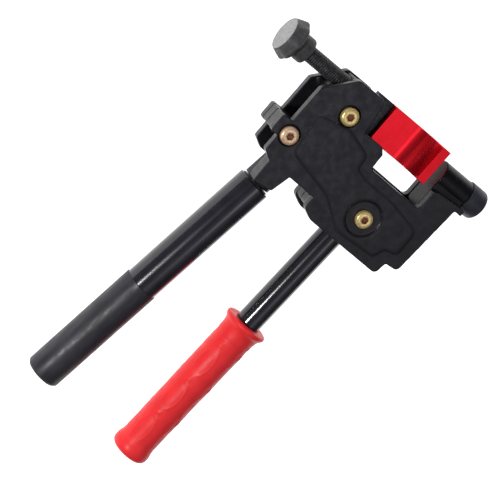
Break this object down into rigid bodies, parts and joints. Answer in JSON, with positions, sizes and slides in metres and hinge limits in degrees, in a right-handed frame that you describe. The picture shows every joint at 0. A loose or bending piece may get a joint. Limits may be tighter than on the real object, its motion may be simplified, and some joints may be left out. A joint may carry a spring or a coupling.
{
  "type": "hand seamer",
  "caption": "Hand-operated seamer for standing seams: squeezing the red-gripped lever feeds a red channel die towards an anvil; a knob and screw adjust the die.",
  "frame": {"origin": "middle of the footprint, on the plane that the tool lies on (the rear housing's flat outer face)", "axes": "+X along the adjusting screw from the knob to the anvil, +Y away from the handles, +Z the normal of the flat housings"},
  "size_m": [0.2022, 0.3264, 0.0373],
  "materials": {
    "cast_black": "semi-gloss black enamel on a casting",
    "black_gloss": "gloss black paint",
    "black_matte": "matt black moulded plastic",
    "red_anodised": "red anodised",
    "red_rubber": "soft red rubber",
    "yellow_zinc": "yellow zinc plate",
    "copper_zinc": "copper-toned zinc plate",
    "bright_steel": "bright",
    "dark_steel": "blackened",
    "rough_steel": "phosphated"
  },
  "bodies": {
    "housing": {"front_housing": "cast_black", "rear_housing": "cast_black", "neck_bolt": "copper_zinc", "slide_bolt": "yellow_zinc", "lever_pivot_bolt": "yellow_zinc", "slide_sleeve": "bright_steel", "pivot_sleeve": "bright_steel", "handle_spigot": "bright_steel", "fixed_handle_tube": "black_gloss", "fixed_handle_sleeve": "black_matte", "fixed_handle_plug": "black_matte", "anvil_block": "black_gloss", "anvil_end_cap": "black_gloss", "anvil_screw_inner": "bright_steel", "anvil_screw_outer": "bright_steel", "return_spring": "bright_steel"},
    "lever": {"lever_crank": "black_gloss", "drive_pin": "bright_steel", "lever_handle_tube": "black_gloss", "red_handle_grip": "red_rubber"},
    "roller": {"drive_roller": "bright_steel"},
    "carriage": {"die_carriage": "dark_steel"},
    "die": {"die_holder": "dark_steel", "red_forming_die": "red_anodised", "die_screw_inner": "bright_steel", "die_screw_outer": "bright_steel", "swivel_pin": "bright_steel"},
    "screw": {"adjusting_screw": "rough_steel", "adjusting_knob": "black_matte"}
  },
  "joints": [
    {"name": "lever_squeeze", "type": "hinge", "parent": "housing", "child": "lever", "pos_m": [0.02815, 0.08422, 0.0175], "axis": [0, 0, -1], "range_deg": [0, 10.5], "stiffness_Nm_per_rad": 1.5, "springref_deg": -8.59},
    {"name": "roller_spin", "type": "hinge", "parent": "lever", "child": "roller", "pos_m": [-0.01015, 0.11382, 0.0175], "axis": [0, 0, 1], "continuous": true},
    {"name": "carriage_feed", "type": "slide", "parent": "housing", "child": "carriage", "axis": [1, 0, 0], "range_m": [0, 0.0061]},
    {"name": "die_adjust", "type": "slide", "parent": "carriage", "child": "die", "axis": [1, 0, 0], "range_m": [-0.003, 0.0025]},
    {"name": "screw_turn", "type": "hinge", "parent": "die", "child": "screw", "pos_m": [-0.09215, 0.14782, 0.0175], "axis": [1, 0, 0], "range_deg": [-618, 515]}
  ],
  "couplings": [
    {"joint": "carriage_feed", "follows": "lever_squeeze", "m_per_rad": 0.0329},
    {"joint": "screw_turn", "follows": "die_adjust", "rad_per_m": 3590.4}
  ]
}
